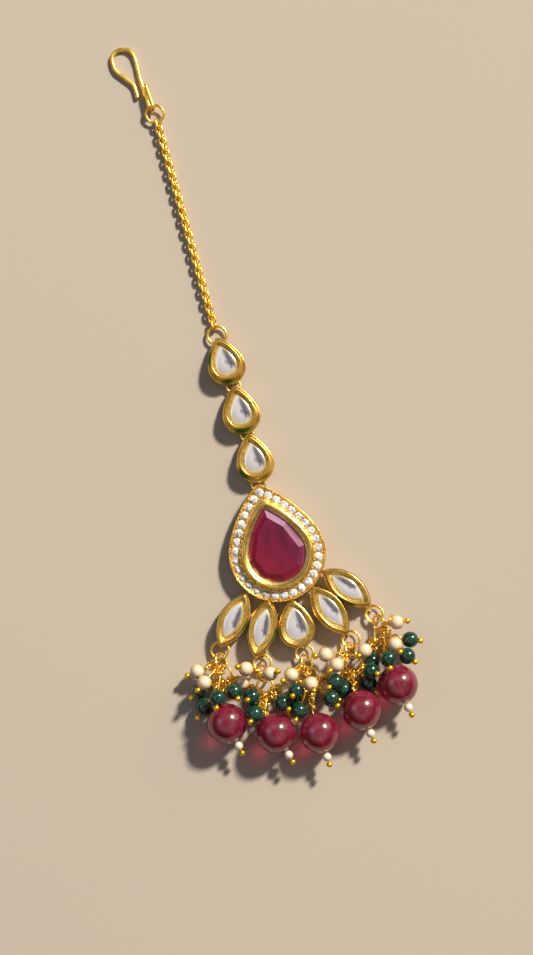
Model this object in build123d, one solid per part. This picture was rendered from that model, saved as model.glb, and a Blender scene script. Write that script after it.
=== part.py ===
from build123d import *
import math
import os

# A maang tikka, a hair jewel, lying on its back. +Z is up, the chain runs along +Y to the hook and
# the bead drops lie at -Y. The origin is on the pendant's flat back, at the centre of its round end.
os.makedirs("parts", exist_ok=True)

# Heights above the surface that it lies on
back_z = 1.3
flange_z = 2.1
rim_z = 3.5
seat_z = 2.75
stone_floor_z = 1.7
halo_z = 2.5
border_z = 2.75
bezel_z = 3.9
link_z = 0.87
ruby_seat_z = 3.2

# Gaps and small details
stone_gap = 0.06
solder_depth = 0.1
edge_round = 0.22
foot_radius = 0.22
foot_reach = 0.75
foot_inset = 1.2
foot_weld = 0.3
side_bulge = 1.45
tab_inset = 0.3
tab_width = 1.8
tab_length = 2.4

# Pear and pointed outlines, from the flange inwards: width, length, radius of the tip
PEAR_BOX = {
    "flange": (7.8, 10.3, 0.9),
    "box": (6.4, 8.6, 0.5),
    "mouth": (5.5, 7.6, 0.4),
    "seat": (4.6, 6.6, 0.25),
}
PETAL_PEAR = {
    "flange": (7.5, 9.8, 0.8),
    "box": (6.9, 9.1, 0.6),
    "mouth": (5.9, 8.1, 0.4),
    "seat": (4.7, 7.0, 0.25),
}
PETAL_POINTED = {
    "flange": (5.9, 12.0, 0.5),
    "box": (5.3, 11.0, 0.4),
    "mouth": (4.4, 9.7, 0.3),
    "seat": (3.4, 8.0, 0.2),
}
PENDANT = {
    "flange": (19.7, 24.6, 1.2),
    "border": (18.8, 23.6, 1.0),
    "halo": (16.8, 21.4, 1.0),
    "bezel": (14.7, 18.3, 1.4),
    "mouth": (12.9, 16.5, 0.9),
    "seat": (11.6, 15.3, 0.6),
    "back": (13.7, 18.2, 1.0),
}

# The three pears between the chain and the pendant: x, y of the round end, turn in degrees
PEARS = [(0.75, 40.1, 2.8), (0.85, 29.4, -3.0), (0.85, 19.0, -2.6)]
pear_shift = 0.2

# Petals soldered under the pendant: outline, x, y, turn, sideways shift of the box on its flange
PETALS = [
    ("pointed", -12.2, -10.4, -42.5, -0.05),
    ("pointed", -7.0, -13.6, -30.3, -0.05),
    ("pear", -0.4, -15.7, -5.2, 0.1),
    ("pointed", 7.0, -13.9, 20.9, 0.2),
    ("pointed", 11.6, -10.5, 37.3, 0.2),
]

# Stones
halo_count = 31
halo_stone_radius = 0.84
halo_sides = 10
stone_sides = 16
ruby_sides = 12

# Levels of a cut stone from its table down: height, and scale of the outline at that height
BOX_STONE = [(seat_z + 0.35, 0.72), (seat_z - 0.05, 1.0), (seat_z - 0.3, 1.0), (stone_floor_z + 0.1, 0.6)]
HALO_STONE = [(halo_z + 0.35, 0.55), (halo_z + 0.08, 1.0), (halo_z - 0.02, 1.0), (halo_z - 0.7, 0.1)]
RUBY = [
    (bezel_z - 0.25, 0.76),
    (ruby_seat_z - 0.05, 1.0),
    (ruby_seat_z - 0.3, 1.0),
    (stone_floor_z + 0.1, 0.55),
]

# Hook and rings
hook_wire = 0.45
HOOK = [
    # x, y, z, bend radius at the point
    (-1.5, 101.4, 0.55, 0),
    (-1.5, 104.1, 0.5, 2.5),
    (-4.6, 108.3, 0.5, 3.0),
    (-4.6, 112.4, 0.5, 2.1),
    (0.0, 112.4, 0.5, 2.3),
    (0.25, 108.5, 0.5, 8.0),
    (0.0, 105.0, 0.5, 8.0),
    (0.2, 102.6, 0.5, 8.0),
    (0.26, 97.25, 0.46, 0.95),
    (1.05, 97.25, 2.38, 0.95),
    (0.75, 102.9, 1.6, 0),
]
ring_wire = 0.28
top_ring_radius = 1.88
top_ring_tilt = 7.0
ring_play = 0.12
pear_ring_radius = 1.95
pear_ring_at = (0.65, 47.2)
pear_link_wire = 0.22

# Chain of closed oval links, turned a quarter about the chain from one to the next
chain_links = 35
chain_pitch = 1.32
chain_z = 0.88
chain_turn = 62.0
link_radius = 0.67
link_straight = 0.62
link_wire = 0.25
chain_end_x = 0.55
chain_end_y = 49.48
chain_top_x = 1.0

# Bead drops. Each hangs on three rings, and every bead sits on a ball-ended pin with an eye.
drop_ring_radius = 1.7
petal_ring_wire = 0.27
drop_ring_wire = 0.25
petal_ring_pitch = 8.0
pin_wire = 0.17
shank_wire = 0.16
eye_radius = 0.66
eye_pull = 0.1
head_radius = 0.6
head_gap = 0.08
hole_radius = 0.28
bend_gap = 0.4
seed_radius = 0.9
BEAD_RADIUS = {"pearl": 1.5, "green": 1.65, "red": 4.0}

# Rings of each drop: x, y, z of the ring's middle and its roll about the line that it hangs along
DROP_RINGS = [
    {
        "petal": (-16.4, -15.4, 1.03, 0),
        "middle": (-16.8, -17.6, 1.9, -55),
        "lower": (-17.1, -20.2, 1.7, 15),
    },
    {
        "petal": (-8.9, -20.2, 1.06, 0),
        "middle": (-9.3, -22.4, 1.9, -55),
        "lower": (-9.7, -24.9, 2.0, 15),
    },
    {
        "petal": (-0.2, -20.6, 1.06, 0),
        "middle": (-0.4, -22.7, 1.9, -55),
        "lower": (-0.6, -25.3, 1.8, 15),
    },
    {
        "petal": (9.6, -20.6, 1.06, 0),
        "middle": (8.8, -22.9, 1.9, -55),
        "lower": (8.7, -25.4, 2.0, 15),
    },
    {
        "petal": (15.6, -17.0, 1.06, 0),
        "middle": (15.8, -19.1, 1.9, 55),
        "lower": (15.9, -21.6, 1.6, -15),
    },
]

# Beads of each drop: kind, x, y, z, the ring that holds the pin, and how far round that ring the
# pin's eye has slid, in degrees from the point nearest to the bead. A red bead's last value is the
# way its far end points, in degrees about Z.
DROP_BEADS = [
    [
        ("pearl", -21.9, -18.3, 3.0, "middle", -8),
        ("pearl", -21.1, -20.9, 4.9, "middle", -3),
        ("pearl", -13.9, -22.9, 1.6, "lower", 0),
        ("green", -22.3, -22.2, 1.7, "lower", 0),
        ("green", -22.6, -25.6, 2.3, "lower", 0),
        ("green", -19.4, -24.6, 6.5, "middle", 6),
        ("green", -15.9, -24.2, 4.4, "lower", 0),
        ("red", -19.0, -29.9, 4.05, "lower", 10, -78),
    ],
    [
        ("pearl", -12.4, -20.6, 5.2, "middle", 0),
        ("pearl", -8.0, -22.8, 5.6, "middle", 0),
        ("pearl", -5.8, -26.6, 1.7, "lower", 0),
        ("green", -12.8, -26.2, 4.9, "lower", -10),
        ("green", -13.2, -29.6, 5.6, "lower", 6),
        ("green", -12.6, -28.6, 1.7, "lower", -4),
        ("green", -7.3, -29.0, 4.8, "lower", 0),
        ("red", -10.2, -34.4, 4.05, "lower", 12, -75),
    ],
    [
        ("pearl", -4.0, -24.2, 4.2, "middle", 0),
        ("pearl", -0.8, -27.0, 6.0, "middle", 0),
        ("pearl", 1.9, -28.6, 1.65, "lower", 11),
        ("green", -4.0, -27.5, 5.0, "lower", -20),
        ("green", -4.5, -31.4, 4.8, "lower", 6),
        ("green", -4.9, -29.9, 1.7, "lower", 0),
        ("green", 2.2, -30.9, 5.2, "lower", -3),
        ("red", -1.9, -36.7, 4.05, "lower", 8, -88),
    ],
    [
        ("pearl", 3.7, -22.2, 4.0, "middle", 0),
        ("pearl", 5.2, -24.8, 5.0, "middle", 0),
        ("pearl", 4.5, -25.9, 1.6, "lower", -4),
        ("green", 4.0, -27.9, 4.8, "lower", -3),
        ("green", 5.3, -29.8, 1.7, "lower", 2),
        ("green", 11.4, -27.8, 5.2, "lower", 0),
        ("green", 10.5, -30.0, 2.1, "lower", 0),
        ("red", 7.4, -34.7, 4.05, "lower", 4, -84),
    ],
    [
        ("pearl", 19.2, -19.9, 4.1, "middle", 0),
        ("pearl", 17.5, -24.1, 5.6, "middle", 8),
        ("pearl", 11.4, -23.6, 4.6, "lower", 0),
        ("green", 12.4, -25.9, 1.7, "lower", 0),
        ("green", 20.8, -24.0, 3.6, "lower", 0),
        ("green", 19.2, -27.0, 4.9, "lower", 0),
        ("green", 15.3, -26.5, 6.4, "middle", -8),
        ("red", 15.9, -31.9, 4.05, "lower", 0, -82),
    ],
]


# A closed outline is a list of circles (x, y, radius), counter-clockwise, each touching the next
# from inside, so that their arcs meet without a corner.


def pear_outline(width, length, tip, shift_x=0.0, shift_y=0.0):
    # round end at the origin, tip towards +Y, and the two sides on large circles
    big = width / 2
    reach = length - big - tip
    side = side_bulge * width
    up = ((side - big) ** 2 - (side - tip) ** 2 + reach**2) / (2 * reach)
    across = math.sqrt((side - big) ** 2 - up**2)
    circles = [(0, 0, big), (-across, up, side), (0, reach, tip), (across, up, side)]
    return [(x + shift_x, y + shift_y, r) for x, y, r in circles]


def pointed_outline(width, length, tip, shift_x=0.0, shift_y=0.0):
    # two large arcs that meet in a small round tip at each end
    half = length / 2 - tip
    side = (width**2 / 4 + half**2 - tip**2) / (width - 2 * tip)
    across = side - width / 2
    circles = [(-across, 0, side), (0, half, tip), (across, 0, side), (0, -half, tip)]
    return [(x + shift_x, y + shift_y, r) for x, y, r in circles]


def touching_point(first, second):
    large, small = (first, second) if first[2] > second[2] else (second, first)
    along = Vector(small[0] - large[0], small[1] - large[1]).normalized()
    return Vector(large[0], large[1]) + along * large[2]


def arcs_of(circles):
    # each arc as its centre, radius, first angle and turn
    arcs = []
    for i, (x, y, r) in enumerate(circles):
        start = touching_point(circles[i - 1], circles[i])
        end = touching_point(circles[i], circles[(i + 1) % len(circles)])
        first = math.atan2(start.Y - y, start.X - x)
        turn = (math.atan2(end.Y - y, end.X - x) - first) % (2 * math.pi)
        arcs.append((x, y, r, first, turn))
    return arcs


def on_arc(arc, share, z=0.0):
    x, y, r, first, turn = arc
    angle = first + share * turn
    return Vector(x + r * math.cos(angle), y + r * math.sin(angle), z)


def outline_wire(circles, z):
    edges = []
    for arc in arcs_of(circles):
        edges.append(Edge.make_three_point_arc(on_arc(arc, 0, z), on_arc(arc, 0.5, z), on_arc(arc, 1, z)))
    return Wire(edges)


def slab(circles, low, high):
    return extrude(Face(outline_wire(circles, low)), high - low, dir=(0, 0, 1))


def taper(low_circles, low, high_circles, high):
    return Solid.make_loft([outline_wire(low_circles, low), outline_wire(high_circles, high)], ruled=True)


def spaced_points(circles, count):
    # points at equal distances round the outline, the first at the tip that points to +Y
    arcs = arcs_of(circles)
    lengths = [arc[2] * arc[4] for arc in arcs]
    tip_arc = max(range(len(arcs)), key=lambda i: on_arc(arcs[i], 0.5).Y)
    begin = sum(lengths[:tip_arc]) + lengths[tip_arc] / 2
    points = []
    for step in range(count):
        distance = (begin + sum(lengths) * step / count) % sum(lengths)
        arc_number = 0
        while distance > lengths[arc_number]:
            distance -= lengths[arc_number]
            arc_number += 1
        points.append(on_arc(arcs[arc_number], distance / lengths[arc_number]))
    return points


def smaller(points, scale, z):
    # the same outline drawn closer to its middle, so that the facets between the two stay flat
    middle = sum(points, Vector()) * (1 / len(points))
    drawn = [middle + (point - middle) * scale for point in points]
    return [Vector(point.X, point.Y, z) for point in drawn]


def cut_stone(points, levels):
    # a flat table, and facets that run from level to level
    rings = [smaller(points, scale, z) for z, scale in levels]
    faces = [Face(Wire.make_polygon(rings[0])), Face(Wire.make_polygon(rings[-1]))]
    for upper, lower in zip(rings, rings[1:]):
        for i in range(len(points)):
            faces.append(Face(Wire.make_polygon([upper[i - 1], upper[i], lower[i], lower[i - 1]])))
    return Solid(Shell(faces))


def rod(start, end, radius):
    span = end - start
    return Solid.make_cylinder(radius, span.length, Plane(start, z_dir=span.normalized()))


def ball(centre, radius):
    return Pos(centre.X, centre.Y, centre.Z) * Sphere(radius)


def ring(centre, axis, radius, wire):
    return Solid.make_torus(radius, wire, Plane(centre, z_dir=axis))


def foot(centre, along):
    # a wire staple under a setting, with room in it for a jump ring's wire
    near = centre - along * foot_reach
    far = centre + along * foot_reach
    low = Vector(0, 0, foot_radius)
    top = Vector(0, 0, back_z + foot_weld)
    shape = rod(near + low, far + low, foot_radius) + rod(near + low, near + top, foot_radius)
    shape += rod(far + low, far + top, foot_radius)
    return shape + ball(near + low, foot_radius) + ball(far + low, foot_radius)


def box_setting(outline, sizes, shift_x, shift_y):
    # flange, straight box with a bevelled rim, sloping mouth and a pocket for the stone
    def drawn(name, grow=0.0):
        width, length, tip = sizes[name]
        return outline(width + 2 * grow, length + 2 * grow, tip + max(grow, 0), shift_x, shift_y)

    flange = outline(*sizes["flange"])
    shape = slab(flange, back_z, flange_z)
    shape += slab(drawn("box"), flange_z - solder_depth, rim_z - edge_round)
    shape += taper(drawn("box"), rim_z - edge_round, drawn("box", -edge_round), rim_z)
    shape -= taper(drawn("seat"), seat_z, drawn("mouth"), rim_z)
    return shape - slab(drawn("seat"), stone_floor_z, seat_z)


def box_stone(outline, sizes, shift_x, shift_y):
    width, length, tip = sizes["seat"]
    size = (width - 2 * stone_gap, length - 2 * stone_gap, tip)
    points = spaced_points(outline(*size, shift_x, shift_y), stone_sides)
    return cut_stone(points, BOX_STONE)


def along_of(turn):
    return Vector(-math.sin(math.radians(turn)), math.cos(math.radians(turn)))


def pear_place(number):
    x, y, turn = PEARS[number]
    return Pos(x, y) * Rot(0, 0, turn)


def pear_foot_point(number, end):
    # where the link's wire passes under a pear: end +1 is its tip, -1 its round end
    x, y, turn = PEARS[number]
    width, length, _ = PEAR_BOX["flange"]
    reach = length - width / 2 - foot_inset if end > 0 else foot_inset - width / 2
    return Vector(x, y) + along_of(turn) * reach


def pear_setting(number):
    shape = pear_place(number) * box_setting(pear_outline, PEAR_BOX, 0, pear_shift)
    along = along_of(PEARS[number][2])
    for end in (1, -1):
        shape += foot(pear_foot_point(number, end), along)
    return shape


def pendant_tip_foot():
    width, length, _ = PENDANT["flange"]
    return Vector(0, length - width / 2 - foot_inset)


def petal_outline(kind):
    return (pear_outline, PETAL_PEAR) if kind == "pear" else (pointed_outline, PETAL_POINTED)


def petal_foot_point(number):
    # the petal ring's wire runs through this staple
    x, y, _, _ = DROP_RINGS[number]["petal"]
    return Vector(x, y) + along_of(PETALS[number][3]) * drop_ring_radius


def pendant_setting():
    flange = pear_outline(*PENDANT["flange"])
    bezel = pear_outline(*PENDANT["bezel"])
    width, length, tip = PENDANT["bezel"]
    bezel_top = pear_outline(width - 2 * edge_round, length - 2 * edge_round, tip - edge_round)
    shape = slab(pear_outline(*PENDANT["back"]), 0, back_z + solder_depth)
    shape += slab(flange, back_z, border_z)
    shape -= slab(pear_outline(*PENDANT["border"]), halo_z, border_z)
    shape += slab(bezel, halo_z - solder_depth, bezel_z - edge_round)
    shape += taper(bezel, bezel_z - edge_round, bezel_top, bezel_z)
    shape -= taper(pear_outline(*PENDANT["seat"]), ruby_seat_z, pear_outline(*PENDANT["mouth"]), bezel_z)
    shape -= slab(pear_outline(*PENDANT["seat"]), stone_floor_z, ruby_seat_z)
    for place in halo_points():
        bottom = place + Vector(0, 0, stone_floor_z)
        shape -= rod(bottom, bottom + Vector(0, 0, border_z), halo_stone_radius + stone_gap)
    for kind, x, y, turn, shift in PETALS:
        outline, sizes = petal_outline(kind)
        shape += Pos(x, y) * Rot(0, 0, turn) * box_setting(outline, sizes, shift, 0)
        inward = Vector(-x, -y).normalized()
        edge = inward * (tab_inset - PENDANT["flange"][0] / 2)
        tab_height = stone_floor_z - back_z
        tab = Box(tab_width, tab_length, tab_height)
        shape += Pos(edge.X, edge.Y, back_z + tab_height / 2) * Rot(0, 0, turn) * tab
    for number in range(len(PETALS)):
        shape += foot(petal_foot_point(number), along_of(PETALS[number][3]))
    return shape + foot(pendant_tip_foot(), Vector(0, 1))


def halo_points():
    return spaced_points(pear_outline(*PENDANT["halo"]), halo_count)


def halo_stones():
    stones = []
    for place in halo_points():
        turns = [360 * i / halo_sides for i in range(halo_sides)]
        circle = [place + Vector(halo_stone_radius, 0).rotate(Axis.Z, turn) for turn in turns]
        stones.append(cut_stone(circle, HALO_STONE))
    return Compound(stones)


def ruby():
    width, length, tip = PENDANT["seat"]
    points = spaced_points(pear_outline(width - 2 * stone_gap, length - 2 * stone_gap, tip), ruby_sides)
    return cut_stone(points, RUBY)


def petal_stone(number):
    kind, x, y, turn, shift = PETALS[number]
    outline, sizes = petal_outline(kind)
    return Pos(x, y) * Rot(0, 0, turn) * box_stone(outline, sizes, shift, 0)


def hook():
    points = [Vector(x, y, z) for x, y, z, _ in HOOK]
    path = FilletPolyline(*points, radius=[bend for _, _, _, bend in HOOK[1:-1]])
    section = Plane(points[0], z_dir=(points[1] - points[0]).normalized()) * Circle(hook_wire)
    wire = sweep(section, path=path)
    return wire + ball(points[0], hook_wire) + ball(points[-1], hook_wire)


def top_ring_centre():
    # its lower side is held by the chain's first link, and it rises towards the hook
    low_y = chain_end_y + (chain_links - 1) * chain_pitch + link_radius + link_straight / 2
    low_y -= ring_wire + link_wire + ring_play
    rise = math.radians(top_ring_tilt)
    to_centre = Vector(0, math.cos(rise), math.sin(rise)) * top_ring_radius
    return Vector(chain_top_x, low_y, chain_z) + to_centre


def top_ring():
    axis = Vector(0, -math.sin(math.radians(top_ring_tilt)), math.cos(math.radians(top_ring_tilt)))
    return ring(top_ring_centre(), axis, top_ring_radius, ring_wire)


def chain_link():
    half = link_straight / 2
    left = Line((-link_radius, -half), (-link_radius, half))
    over = ThreePointArc((-link_radius, half), (0, half + link_radius), (link_radius, half))
    right = Line((link_radius, half), (link_radius, -half))
    under = ThreePointArc((link_radius, -half), (0, -half - link_radius), (-link_radius, -half))
    section = Plane((-link_radius, -half, 0), z_dir=(0, 1, 0)) * Circle(link_wire)
    return sweep(section, path=Wire([left, over, right, under]))


def chain():
    link = chain_link().solid()
    links = []
    for number in range(chain_links):
        share = number / (chain_links - 1)
        x = chain_end_x + (chain_top_x - chain_end_x) * share
        turn = chain_turn - 90 * (number % 2)
        links.append(link.moved(Pos(x, chain_end_y + number * chain_pitch, chain_z) * Rot(0, turn, 0)))
    return Compound(links)


def pear_links():
    # flat rings that join the staples of the pears and of the pendant's tip
    ends = [
        (pear_foot_point(0, -1), pear_foot_point(1, 1)),
        (pear_foot_point(1, -1), pear_foot_point(2, 1)),
        (pear_foot_point(2, -1), pendant_tip_foot()),
    ]
    up = Vector(0, 0, 1)
    rings = []
    for first, second in ends:
        middle = (first + second) * 0.5 + up * link_z
        rings.append(ring(middle, up, (first - second).length / 2, pear_link_wire))
    return Compound(rings)


def ring_frame(number, name):
    # centre, the direction that the ring hangs along, and the one across it
    x, y, z, roll = DROP_RINGS[number][name]
    pitch = math.radians(petal_ring_pitch if name == "petal" else 0)
    roll = math.radians(roll)
    down = Vector(0, -math.cos(pitch), math.sin(pitch))
    across = Vector(math.cos(roll), math.sin(roll) * math.sin(pitch), math.sin(roll) * math.cos(pitch))
    return Vector(x, y, z), down, across


def drop_ring(number, name):
    centre, down, across = ring_frame(number, name)
    wire = petal_ring_wire if name == "petal" else drop_ring_wire
    return ring(centre, down.cross(across), drop_ring_radius, wire)


def bead_pin(number, bead):
    # returns the pin, the bead's middle and the direction of the pin through it
    kind, x, y, z, ring_name, slide = bead[:6]
    centre, down, across = ring_frame(number, ring_name)
    middle = Vector(x, y, z)
    bend = middle
    if kind == "red":
        way = Vector(1, 0, 0).rotate(Axis.Z, bead[6])
        bend = middle - way * (BEAD_RADIUS[kind] + bend_gap)
    offset = bend - centre
    angle = math.atan2(offset.dot(across), offset.dot(down)) + math.radians(slide)
    held = centre + (down * math.cos(angle) + across * math.sin(angle)) * drop_ring_radius
    tangent = across * math.cos(angle) - down * math.sin(angle)
    eye = held + (bend - held).normalized() * eye_pull
    leaving = (bend - eye).normalized()
    if kind != "red":
        way = leaving
    reach = BEAD_RADIUS[kind] + head_gap + head_radius
    if kind == "red":
        reach += 2 * seed_radius + head_gap
    head = middle + way * reach
    loop = Plane(eye, x_dir=-leaving, z_dir=tangent - leaving * tangent.dot(leaving))
    shape = Solid.make_torus(eye_radius, pin_wire, loop)
    if kind == "red":
        shape += rod(eye + leaving * eye_radius, bend, shank_wire)
        shape += ball(bend, pin_wire)
        shape += headed_shank(bend, head)
    else:
        shape += headed_shank(eye + leaving * eye_radius, head)
    return shape, middle, way


def headed_shank(start, head):
    # a straight wire with a ball on its end, turned about its own axis
    length = (head - start).length
    neck = length - math.sqrt(head_radius**2 - shank_wire**2)
    axis_line = Line((0, length + head_radius), (0, 0))
    start_line = Line((0, 0), (shank_wire, 0))
    wire_line = Line((shank_wire, 0), (shank_wire, neck))
    round_end = ThreePointArc((shank_wire, neck), (head_radius, length), (0, length + head_radius))
    return turned(Wire([axis_line, start_line, wire_line, round_end]), start, head - start)


def turned(outline, centre, axis):
    # turns an outline drawn in X and Y about its Y axis, which then points along the given axis
    solid = revolve(Face(outline), Axis.Y)
    return Plane(centre, z_dir=axis).location * Rot(90, 0, 0) * solid


def drilled(middle, way, radius):
    half = math.sqrt(radius**2 - hole_radius**2)
    hole = Line((hole_radius, -half), (hole_radius, half))
    skin = ThreePointArc((hole_radius, half), (radius, 0), (hole_radius, -half))
    return turned(Wire([hole, skin]), middle, way)


def drop_pieces(number):
    # the pins and the beads of one drop, by kind
    pieces = {"pins": [], "pearl": [], "green": [], "red": [], "seed": []}
    for bead in DROP_BEADS[number]:
        kind = bead[0]
        pin, middle, way = bead_pin(number, bead)
        pieces["pins"].append(pin.solid())
        pieces[kind].append(drilled(middle, way, BEAD_RADIUS[kind]).solid())
        if kind == "red":
            seed = middle + way * (BEAD_RADIUS["red"] + seed_radius + head_gap)
            pieces["seed"].append(drilled(seed, way, seed_radius).solid())
    return pieces


def save(name, shape):
    export_step(shape, "parts/" + name + ".step")


save("hook", hook())
save("top_ring", top_ring())
save("chain", chain())
save("pear_ring", ring(Vector(*pear_ring_at, link_z), Vector(0, 0, 1), pear_ring_radius, ring_wire))
save("pear_links", pear_links())
save("pendant_setting", pendant_setting())
save("ruby", ruby())
save("halo_stones", halo_stones())

for number in range(len(PEARS)):
    stone = pear_place(number) * box_stone(pear_outline, PEAR_BOX, 0, pear_shift)
    save("pear_setting_%d" % (number + 1), pear_setting(number))
    save("pear_stone_%d" % (number + 1), stone)

for number in range(len(PETALS)):
    label = str(number + 1)
    pieces = drop_pieces(number)
    save("petal_stone_" + label, petal_stone(number))
    save("petal_ring_" + label, drop_ring(number, "petal"))
    save("drop_links_" + label, Compound([drop_ring(number, "middle"), drop_ring(number, "lower")]))
    save("bead_pins_" + label, Compound(pieces["pins"]))
    save("pearls_" + label, Compound(pieces["pearl"]))
    save("green_beads_" + label, Compound(pieces["green"]))
    save("red_bead_" + label, pieces["red"][0])
    save("seed_bead_" + label, pieces["seed"][0])
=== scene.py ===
import math
import bpy
import numpy as np
from mathutils import Matrix


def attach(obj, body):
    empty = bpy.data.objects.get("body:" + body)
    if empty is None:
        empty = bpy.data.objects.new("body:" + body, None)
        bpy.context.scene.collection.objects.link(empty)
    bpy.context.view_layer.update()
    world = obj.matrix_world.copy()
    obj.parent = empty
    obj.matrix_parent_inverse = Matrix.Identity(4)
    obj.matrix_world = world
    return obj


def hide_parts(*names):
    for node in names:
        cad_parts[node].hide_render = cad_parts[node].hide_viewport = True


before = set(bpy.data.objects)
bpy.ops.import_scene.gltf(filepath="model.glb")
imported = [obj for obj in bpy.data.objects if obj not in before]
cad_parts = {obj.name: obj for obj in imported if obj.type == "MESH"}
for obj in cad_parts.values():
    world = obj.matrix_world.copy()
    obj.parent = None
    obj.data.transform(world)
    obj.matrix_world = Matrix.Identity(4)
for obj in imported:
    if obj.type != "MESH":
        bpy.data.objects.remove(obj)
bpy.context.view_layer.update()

# Dresses the hair jewel: gold settings, stones, beads, pins and chain. Lengths are written in
# millimetres and turned to metres where a mesh is made.
mm = 0.001
random = np.random.default_rng(7)

# camera, light and floor

look = {
    "aim": (2.33, 15.95, 0.0), "distance": 359.0, "tilt": 8.0, "roll": 16.0, "lens": 66.0, "sensor": 36.0,
    # the way that each lamp stands from the jewel, its height in degrees, then its distance, size,
    # power and colour
    "lamps": {
        "keyLight": ((0.83, 0.56), 39.0, 6000.0, 680.0, 515.0, "#FFF4E4"),
        "sideSoftbox": ((0.9, 0.4), 24.0, 1800.0, 1400.0, 6.4, "#FFF0DC"),
        "fillLight": ((-0.85, 0.5), 46.0, 600.0, 300.0, 0.2, "#EAF0FF")},
    # strength and colours, from the walls to overhead, of the softbox dome that gives light, and of the
    # paler one that metal and glass mirror
    "domes": [
        (0.18, [(0.25, "#5A5046"), (0.9, "#EEF0FA")]),
        (0.7, [(0.32, "#2A231B"), (0.6, "#B8AE9E"), (0.84, "#FFFFFF"), (0.96, "#A09A96")])],
    "wallColour": "#D6C8B4",  # seen past the floor's edge
    "floorColour": "#C6BCAE", "floorReach": 3000.0, "floorZ": -0.02,
}


def linear(hexColour):  # sRGB hex to linear red, green, blue and alpha
    parts = np.array([int(hexColour[i:i + 2], 16) for i in (1, 3, 5)]) / 255
    return (*np.where(parts <= 0.04045, parts / 12.92, ((parts + 0.055) / 1.055) ** 2.4).tolist(), 1.0)


def addNode(tree, kind, settings=None, links=None):
    # one node; settings are sockets or properties by name or number, links are socket: (node, output)
    node = tree.nodes.new("ShaderNode" + kind)
    for name, value in (settings or {}).items():
        if name == "stops":
            while len(node.color_ramp.elements) < len(value):
                node.color_ramp.elements.new(0.5)
            for stop, (place, colour) in zip(node.color_ramp.elements, value):
                stop.position = place
                stop.color = linear(colour) if isinstance(colour, str) else (colour, colour, colour, 1)
        elif isinstance(name, int) or name in node.inputs:
            node.inputs[name].default_value = linear(value) if isinstance(value, str) else value
        else:
            setattr(node, name, value)
    for name, (source, output) in (links or {}).items():
        tree.links.new(source.outputs[output], node.inputs[name])
    return node


def unit(vector):
    # the same way, one long
    vector = np.asarray(vector, float)
    return vector / np.linalg.norm(vector, axis=-1, keepdims=True)


def aimAt(thing, place, target, up):
    # stands an object at a place with its -Z towards the target and its +Y towards up
    back = unit(np.array(place) - np.array(target))
    right = unit(np.cross(up, back))
    matrix = np.eye(4)
    matrix[:3, :3] = np.stack([right, np.cross(back, right), back], 1)
    matrix[:3, 3] = np.array(place) * mm
    thing.matrix_world = Matrix(matrix.tolist())


def addObject(name, data):
    # a new object in the scene, at the origin
    thing = bpy.data.objects.new(name, data)
    bpy.context.scene.collection.objects.link(thing)
    return thing


tilt, roll = math.radians(look["tilt"]), math.radians(look["roll"])
viewUp = np.array([math.sin(roll), math.cos(roll), 0.0])  # the way up the view, along the surface
away = viewUp * math.sin(tilt) - np.array([0, 0, math.cos(tilt)])
camera = addObject("camera", bpy.data.cameras.new("camera"))
camera.data.lens = look["lens"]
camera.data.sensor_width = look["sensor"]
camera.data.clip_start = 10 * mm
aimAt(camera, np.array(look["aim"]) - away * look["distance"], look["aim"], viewUp)
bpy.context.scene.camera = camera

for name, (way, height, distance, size, power, colour) in look["lamps"].items():
    height = math.radians(height)
    lamp = addObject(name, bpy.data.lights.new(name, "AREA"))
    lamp.data.shape = "DISK"
    lamp.data.size = size * mm
    lamp.data.energy = power
    lamp.data.color = linear(colour)[:3]
    place = np.append(unit(way) * math.cos(height), math.sin(height)) * distance
    aimAt(lamp, place, (0, 0, 0), (0, 0, 1))

world = bpy.data.worlds.new("studio")
bpy.context.scene.world = world
world.use_nodes = True
tree = world.node_tree
tree.nodes.clear()
over = addNode(tree, "TexCoord")
height = addNode(tree, "SeparateXYZ", links={0: (over, "Generated")})
skies = []
for strength, stops in look["domes"]:
    colours = addNode(tree, "ValToRGB", {"stops": stops}, {"Fac": (height, "Z")})
    skies.append(addNode(tree, "Background", {"Strength": strength}, {"Color": (colours, "Color")}))
ray = addNode(tree, "LightPath")
sky = addNode(tree, "MixShader", links={0: (ray, "Is Glossy Ray"), 1: (skies[0], 0), 2: (skies[1], 0)})
wall = addNode(tree, "Background", {"Color": look["wallColour"]})
seen = addNode(tree, "MixShader", links={0: (ray, "Is Camera Ray"), 1: (sky, 0), 2: (wall, 0)})
addNode(tree, "OutputWorld", links={"Surface": (seen, 0)})
bpy.context.scene.view_settings.view_transform = "Standard"
print("camera and light ready")

# shapes as whole arrays


def gridFaces(rows, columns, closedRows=False, turned=False):
    # faces between neighbouring rows of a grid whose columns close on themselves
    i = np.arange(rows if closedRows else rows - 1)[:, None]
    j = np.arange(columns)[None, :]
    nextRow, nextColumn = (i + 1) % rows, (j + 1) % columns
    corners = [
        i * columns + j, i * columns + nextColumn, nextRow * columns + nextColumn, nextRow * columns + j]
    return np.stack(corners[::-1] if turned else corners, -1).reshape(-1, 4)


def fan(ring, centre, turned=False):
    # triangles from a ring of points to one middle point; the last two corners are the same
    after = np.roll(ring, 1 if turned else -1)
    middle = np.full(len(ring), centre)
    return np.stack([ring, after, middle, middle], -1)


def capped(rows, turned=False):
    # a grid of points (rows, columns, 3) with a middle point closing its first and its last row
    count, columns = rows.shape[:2]
    flat = rows.reshape(-1, 3)
    points = np.concatenate([flat, rows[:1].mean(1), rows[-1:].mean(1)])
    first, last = np.arange(columns), np.arange(columns) + (count - 1) * columns
    faces = [
        gridFaces(count, columns, turned=turned),
        fan(first, len(flat), not turned),
        fan(last, len(flat) + 1, turned),
    ]
    return points, np.concatenate(faces), 0


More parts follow.
